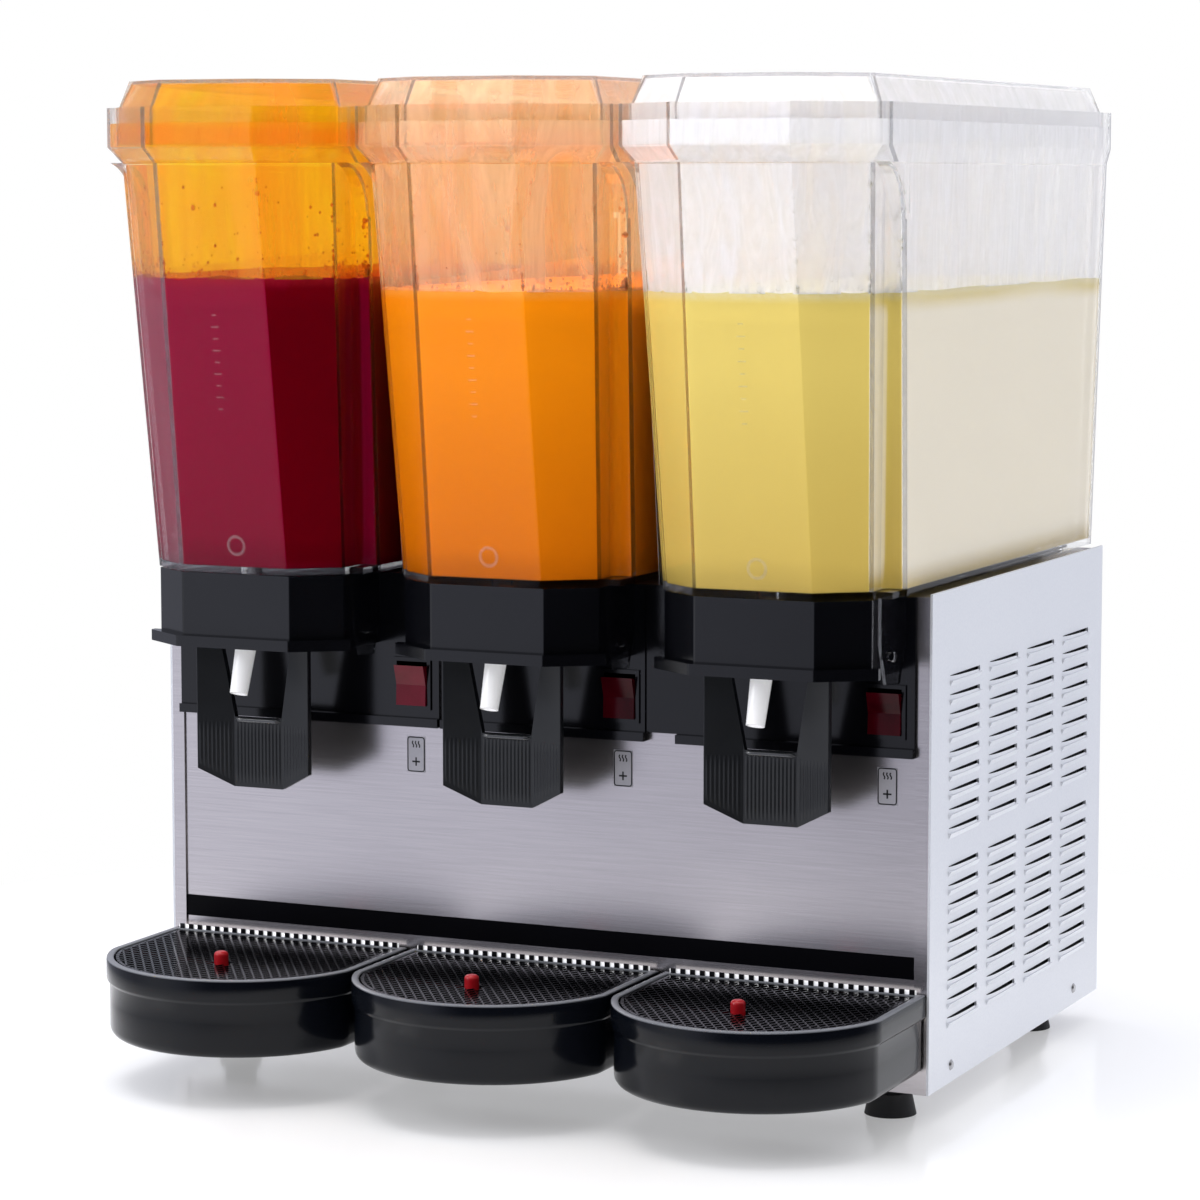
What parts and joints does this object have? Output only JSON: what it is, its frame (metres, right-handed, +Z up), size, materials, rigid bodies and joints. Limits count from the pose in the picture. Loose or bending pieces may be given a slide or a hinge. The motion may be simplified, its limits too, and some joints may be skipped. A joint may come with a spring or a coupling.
{
  "type": "cold drink dispenser",
  "caption": "Counter-top refrigerated drink dispenser: clear bowls with lids side by side on a louvred case, with hanging tap levers, rocker switches and drip trays.",
  "frame": {"origin": "middle of the overall footprint, on the surface the feet stand on", "axes": "+X to the user's right along the row of bowls, +Y from the taps to the back, +Z up"},
  "size_m": [0.5436, 0.526, 0.648],
  "materials": {
    "steel_sheet": "brushed",
    "side_sheet": "satin",
    "black_band": "gloss",
    "black_moulding": "gloss",
    "lever_black": "satin",
    "clear_bowl": "clear",
    "white_plastic": "gloss",
    "red_lens": "gloss",
    "red_float": "gloss",
    "rubber": "matt",
    "gasket_rubber": "matt",
    "stainless": "satin",
    "zinc_screw": "bright",
    "label_film": "satin",
    "pump_white": "satin",
    "magnet": "matt",
    "motor_black": "satin",
    "fins": "satin",
    "copper": "satin",
    "spring_steel": "bright"
  },
  "bodies": {
    "case": {"base_pan": "stainless", "side_panel_left": "side_sheet", "side_panel_right": "side_sheet", "front_panel": "steel_sheet", "front_stripe": "black_band", "rear_panel": "side_sheet", "top_deck": "stainless", "switch_fascias": "black_moulding", "rubber_feet": "rubber", "case_screws": "zinc_screw", "switch_bodies": "black_moulding", "switch_labels": "label_film", "cooling_domes": "stainless", "bowl_gaskets": "gasket_rubber", "lever_pins": "stainless", "lever_springs": "spring_steel", "tap_nozzles": "white_plastic", "pump_motors": "motor_black", "pump_covers": "pump_white", "spray_tubes": "clear_bowl", "compressor": "motor_black", "condenser": "fins", "fan_motor": "motor_black", "suction_pipes": "copper", "power_inlet": "black_moulding", "thermostats": "pump_white", "collar_left": "black_moulding", "collar_middle": "black_moulding", "collar_right": "black_moulding"},
    "fan": {"fan_blades": "pump_white"},
    "bowl_left_body": {"bowl_left": "clear_bowl"},
    "lid_left_body": {"lid_left": "clear_bowl"},
    "tap_lever_left_body": {"tap_lever_left": "lever_black"},
    "tap_piston_left_body": {"tap_piston_left": "white_plastic"},
    "impeller_left_body": {"impeller_left": "pump_white"},
    "drive_magnet_left_body": {"drive_magnet_left": "magnet"},
    "rocker_left_body": {"rocker_left": "red_lens"},
    "drip_tray_left_body": {"drip_tray_left": "black_moulding"},
    "tray_grille_left_body": {"tray_grille_left": "lever_black"},
    "float_left_body": {"float_left": "red_float"},
    "bowl_middle_body": {"bowl_middle": "clear_bowl"},
    "lid_middle_body": {"lid_middle": "clear_bowl"},
    "tap_lever_middle_body": {"tap_lever_middle": "lever_black"},
    "tap_piston_middle_body": {"tap_piston_middle": "white_plastic"},
    "impeller_middle_body": {"impeller_middle": "pump_white"},
    "drive_magnet_middle_body": {"drive_magnet_middle": "magnet"},
    "rocker_middle_body": {"rocker_middle": "red_lens"},
    "drip_tray_middle_body": {"drip_tray_middle": "black_moulding"},
    "tray_grille_middle_body": {"tray_grille_middle": "lever_black"},
    "float_middle_body": {"float_middle": "red_float"},
    "bowl_right_body": {"bowl_right": "clear_bowl"},
    "lid_right_body": {"lid_right": "clear_bowl"},
    "tap_lever_right_body": {"tap_lever_right": "lever_black"},
    "tap_piston_right_body": {"tap_piston_right": "white_plastic"},
    "impeller_right_body": {"impeller_right": "pump_white"},
    "drive_magnet_right_body": {"drive_magnet_right": "magnet"},
    "rocker_right_body": {"rocker_right": "red_lens"},
    "drip_tray_right_body": {"drip_tray_right": "black_moulding"},
    "tray_grille_right_body": {"tray_grille_right": "lever_black"},
    "float_right_body": {"float_right": "red_float"}
  },
  "joints": [
    {"name": "fan_spin", "type": "hinge", "parent": "case", "child": "fan", "pos_m": [0, 0.164, 0.152], "axis": [0, 1, 0], "continuous": true},
    {"name": "bowl_lift_left", "type": "slide", "parent": "case", "child": "bowl_left_body", "axis": [0, 0, 1], "range_m": [0, 0.08]},
    {"name": "lid_lift_left", "type": "slide", "parent": "bowl_left_body", "child": "lid_left_body", "axis": [0, 0, 1], "range_m": [0, 0.06]},
    {"name": "tap_lever_left", "type": "hinge", "parent": "case", "child": "tap_lever_left_body", "pos_m": [-0.18, -0.159, 0.3], "axis": [1, 0, 0], "range_deg": [0, 14], "stiffness_Nm_per_rad": 0.25, "springref_deg": -20.05},
    {"name": "tap_piston_left", "type": "slide", "parent": "case", "child": "tap_piston_left_body", "axis": [0, 0.3219, 0.9468], "range_m": [0, 0.006]},
    {"name": "impeller_left", "type": "hinge", "parent": "case", "child": "impeller_left_body", "pos_m": [-0.18, 0.187, 0.39], "axis": [0, 0, 1], "continuous": true},
    {"name": "drive_magnet_left", "type": "hinge", "parent": "case", "child": "drive_magnet_left_body", "pos_m": [-0.18, 0.187, 0.375], "axis": [0, 0, 1], "continuous": true},
    {"name": "rocker_left", "type": "hinge", "parent": "case", "child": "rocker_left_body", "pos_m": [-0.086, -0.113, 0.2595], "axis": [1, 0, 0], "range_deg": [-14, 0]},
    {"name": "drip_tray_left", "type": "slide", "parent": "case", "child": "drip_tray_left_body", "axis": [0, -1, 0], "range_m": [0, 0.08]},
    {"name": "tray_grille_left", "type": "slide", "parent": "drip_tray_left_body", "child": "tray_grille_left_body", "axis": [0, 0, 1], "range_m": [0, 0.04]},
    {"name": "float_left", "type": "slide", "parent": "drip_tray_left_body", "child": "float_left_body", "axis": [0, 0, 1], "range_m": [0, 0.008]},
    {"name": "bowl_lift_middle", "type": "slide", "parent": "case", "child": "bowl_middle_body", "axis": [0, 0, 1], "range_m": [0, 0.08]},
    {"name": "lid_lift_middle", "type": "slide", "parent": "bowl_middle_body", "child": "lid_middle_body", "axis": [0, 0, 1], "range_m": [0, 0.06]},
    {"name": "tap_lever_middle", "type": "hinge", "parent": "case", "child": "tap_lever_middle_body", "pos_m": [0, -0.159, 0.3], "axis": [1, 0, 0], "range_deg": [0, 14], "stiffness_Nm_per_rad": 0.25, "springref_deg": -20.05},
    {"name": "tap_piston_middle", "type": "slide", "parent": "case", "child": "tap_piston_middle_body", "axis": [0, 0.3219, 0.9468], "range_m": [0, 0.006]},
    {"name": "impeller_middle", "type": "hinge", "parent": "case", "child": "impeller_middle_body", "pos_m": [0, 0.187, 0.39], "axis": [0, 0, 1], "continuous": true},
    {"name": "drive_magnet_middle", "type": "hinge", "parent": "case", "child": "drive_magnet_middle_body", "pos_m": [0, 0.187, 0.375], "axis": [0, 0, 1], "continuous": true},
    {"name": "rocker_middle", "type": "hinge", "parent": "case", "child": "rocker_middle_body", "pos_m": [0.062, -0.113, 0.2595], "axis": [1, 0, 0], "range_deg": [-14, 0]},
    {"name": "drip_tray_middle", "type": "slide", "parent": "case", "child": "drip_tray_middle_body", "axis": [0, -1, 0], "range_m": [0, 0.08]},
    {"name": "tray_grille_middle", "type": "slide", "parent": "drip_tray_middle_body", "child": "tray_grille_middle_body", "axis": [0, 0, 1], "range_m": [0, 0.04]},
    {"name": "float_middle", "type": "slide", "parent": "drip_tray_middle_body", "child": "float_middle_body", "axis": [0, 0, 1], "range_m": [0, 0.008]},
    {"name": "bowl_lift_right", "type": "slide", "parent": "case", "child": "bowl_right_body", "axis": [0, 0, 1], "range_m": [0, 0.08]},
    {"name": "lid_lift_right", "type": "slide", "parent": "bowl_right_body", "child": "lid_right_body", "axis": [0, 0, 1], "range_m": [0, 0.06]},
    {"name": "tap_lever_right", "type": "hinge", "parent": "case", "child": "tap_lever_right_body", "pos_m": [0.18, -0.159, 0.3], "axis": [1, 0, 0], "range_deg": [0, 14], "stiffness_Nm_per_rad": 0.25, "springref_deg": -20.05},
    {"name": "tap_piston_right", "type": "slide", "parent": "case", "child": "tap_piston_right_body", "axis": [0, 0.3219, 0.9468], "range_m": [0, 0.006]},
    {"name": "impeller_right", "type": "hinge", "parent": "case", "child": "impeller_right_body", "pos_m": [0.18, 0.187, 0.39], "axis": [0, 0, 1], "continuous": true},
    {"name": "drive_magnet_right", "type": "hinge", "parent": "case", "child": "drive_magnet_right_body", "pos_m": [0.18, 0.187, 0.375], "axis": [0, 0, 1], "continuous": true},
    {"name": "rocker_right", "type": "hinge", "parent": "case", "child": "rocker_right_body", "pos_m": [0.241, -0.113, 0.2595], "axis": [1, 0, 0], "range_deg": [-14, 0]},
    {"name": "drip_tray_right", "type": "slide", "parent": "case", "child": "drip_tray_right_body", "axis": [0, -1, 0], "range_m": [0, 0.08]},
    {"name": "tray_grille_right", "type": "slide", "parent": "drip_tray_right_body", "child": "tray_grille_right_body", "axis": [0, 0, 1], "range_m": [0, 0.04]},
    {"name": "float_right", "type": "slide", "parent": "drip_tray_right_body", "child": "float_right_body", "axis": [0, 0, 1], "range_m": [0, 0.008]}
  ],
  "couplings": [
    {"joint": "tap_piston_left", "follows": "tap_lever_left", "m_per_rad": 0.02445},
    {"joint": "impeller_left", "follows": "drive_magnet_left", "ratio": 1},
    {"joint": "tap_piston_middle", "follows": "tap_lever_middle", "m_per_rad": 0.02445},
    {"joint": "impeller_middle", "follows": "drive_magnet_middle", "ratio": 1},
    {"joint": "tap_piston_right", "follows": "tap_lever_right", "m_per_rad": 0.02445},
    {"joint": "impeller_right", "follows": "drive_magnet_right", "ratio": 1}
  ]
}
